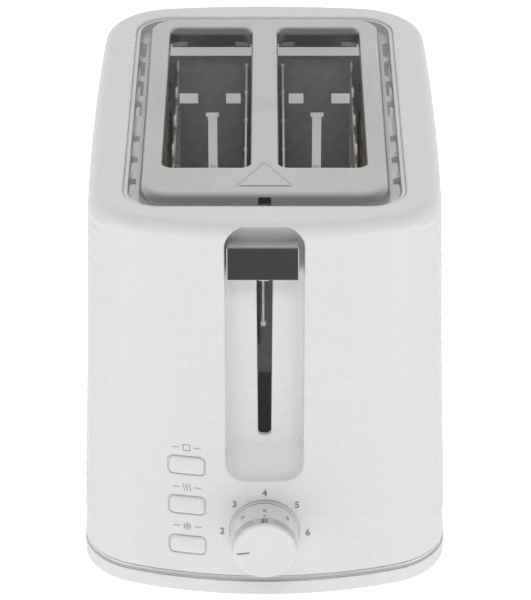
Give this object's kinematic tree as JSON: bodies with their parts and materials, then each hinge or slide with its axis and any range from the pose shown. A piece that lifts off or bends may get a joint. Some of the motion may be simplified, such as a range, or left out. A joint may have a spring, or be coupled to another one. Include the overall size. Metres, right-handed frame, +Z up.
{
  "type": "pop-up toaster",
  "caption": "Two-slot pop-up toaster: white bowed housing with a recessed lever, push buttons, a browning dial and a raised satin steel top plate.",
  "frame": {"origin": "middle of the whole object, on the surface it stands on", "axes": "+Z up, -Y towards the control end with lever and dial, +X to the right seen from that end"},
  "size_m": [0.1722, 0.2826, 0.1919],
  "materials": {
    "white_gloss": "semi-gloss moulded white",
    "white_matte": "satin moulded white",
    "satin_steel": "satin, polished rolled edge",
    "polished_metal": "polished",
    "plated_steel": "zinc-plated sheet and wire",
    "mica_board": "matte mineral board",
    "heating_alloy": "oxidised ribbon",
    "black_plastic": "matte",
    "rubber_feet": "matte",
    "circuit_board": "solder-masked laminate",
    "copper_winding": "enamelled copper"
  },
  "bodies": {
    "housing": {"base_cover": "white_gloss", "base_screw_1": "plated_steel", "base_screw_2": "plated_steel", "base_screw_3": "plated_steel", "base_screw_4": "plated_steel", "base_trim_ring": "polished_metal", "body_shell": "white_gloss", "control_board": "circuit_board", "dial_ring": "white_matte", "dial_switch": "black_plastic", "foot_1": "rubber_feet", "foot_2": "rubber_feet", "foot_3": "rubber_feet", "foot_4": "rubber_feet", "front_end_plate": "plated_steel", "guide_post": "polished_metal", "heater_board_center": "mica_board", "heater_board_left": "mica_board", "heater_board_right": "mica_board", "heating_ribbon_center_left": "heating_alloy", "heating_ribbon_center_right": "heating_alloy", "heating_ribbon_left": "heating_alloy", "heating_ribbon_right": "heating_alloy", "lead_gland": "white_matte", "lift_spring": "plated_steel", "magnet_coil": "copper_winding", "magnet_core": "plated_steel", "rear_end_plate": "plated_steel", "side_reflector_left": "plated_steel", "side_reflector_right": "plated_steel", "spring_hanger": "plated_steel", "switch_cancel": "black_plastic", "switch_defrost": "black_plastic", "switch_reheat": "black_plastic", "top_plate": "satin_steel", "tray_rail_left": "plated_steel", "tray_rail_right": "plated_steel", "vent_frame": "white_matte"},
    "carriage": {"lever_knob": "polished_metal", "lever_arm": "white_matte", "lever_rod": "polished_metal", "carriage_bracket": "plated_steel", "bread_rack_left": "plated_steel", "bread_rack_right": "plated_steel", "latch_armature": "plated_steel"},
    "guard_left_outer": {"bread_guard_left_outer": "plated_steel"},
    "guard_left_inner": {"bread_guard_left_inner": "plated_steel"},
    "guard_right_inner": {"bread_guard_right_inner": "plated_steel"},
    "guard_right_outer": {"bread_guard_right_outer": "plated_steel"},
    "browning_control": {"browning_knob": "white_gloss", "knob_ring": "polished_metal", "knob_shaft": "white_matte"},
    "cancel_button": {"button_cancel": "white_gloss"},
    "reheat_button": {"button_reheat": "white_gloss"},
    "defrost_button": {"button_defrost": "white_gloss"},
    "tray": {"crumb_tray": "plated_steel"}
  },
  "joints": [
    {"name": "lever_slide", "type": "slide", "parent": "housing", "child": "carriage", "axis": [0, 0, -1], "range_m": [0, 0.078], "stiffness_N_per_m": 70, "springref_m": -0.03, "deforming": ["lift_spring"]},
    {"name": "guard_left_outer_slide", "type": "slide", "parent": "housing", "child": "guard_left_outer", "axis": [1, 0, 0], "range_m": [0, 0.005]},
    {"name": "guard_left_inner_slide", "type": "slide", "parent": "housing", "child": "guard_left_inner", "axis": [-1, 0, 0], "range_m": [0, 0.005]},
    {"name": "guard_right_inner_slide", "type": "slide", "parent": "housing", "child": "guard_right_inner", "axis": [1, 0, 0], "range_m": [0, 0.005]},
    {"name": "guard_right_outer_slide", "type": "slide", "parent": "housing", "child": "guard_right_outer", "axis": [-1, 0, 0], "range_m": [0, 0.005]},
    {"name": "browning_turn", "type": "hinge", "parent": "housing", "child": "browning_control", "pos_m": [0, -0.13162, 0.038], "axis": [0, 1, 0], "range_deg": [-45, 225]},
    {"name": "cancel_press", "type": "slide", "parent": "housing", "child": "cancel_button", "axis": [0, 1, 0], "range_m": [0, 0.0015], "stiffness_N_per_m": 400, "springref_m": -0.001},
    {"name": "reheat_press", "type": "slide", "parent": "housing", "child": "reheat_button", "axis": [0, 1, 0], "range_m": [0, 0.0015], "stiffness_N_per_m": 400, "springref_m": -0.001},
    {"name": "defrost_press", "type": "slide", "parent": "housing", "child": "defrost_button", "axis": [0, 1, 0], "range_m": [0, 0.0015], "stiffness_N_per_m": 400, "springref_m": -0.001},
    {"name": "tray_pull", "type": "slide", "parent": "housing", "child": "tray", "axis": [0, 1, 0], "range_m": [0, 0.18]}
  ],
  "couplings": [
    {"joint": "guard_left_outer_slide", "follows": "lever_slide", "ratio": 0.0641},
    {"joint": "guard_left_inner_slide", "follows": "lever_slide", "ratio": 0.0641},
    {"joint": "guard_right_inner_slide", "follows": "lever_slide", "ratio": 0.0641},
    {"joint": "guard_right_outer_slide", "follows": "lever_slide", "ratio": 0.0641}
  ]
}
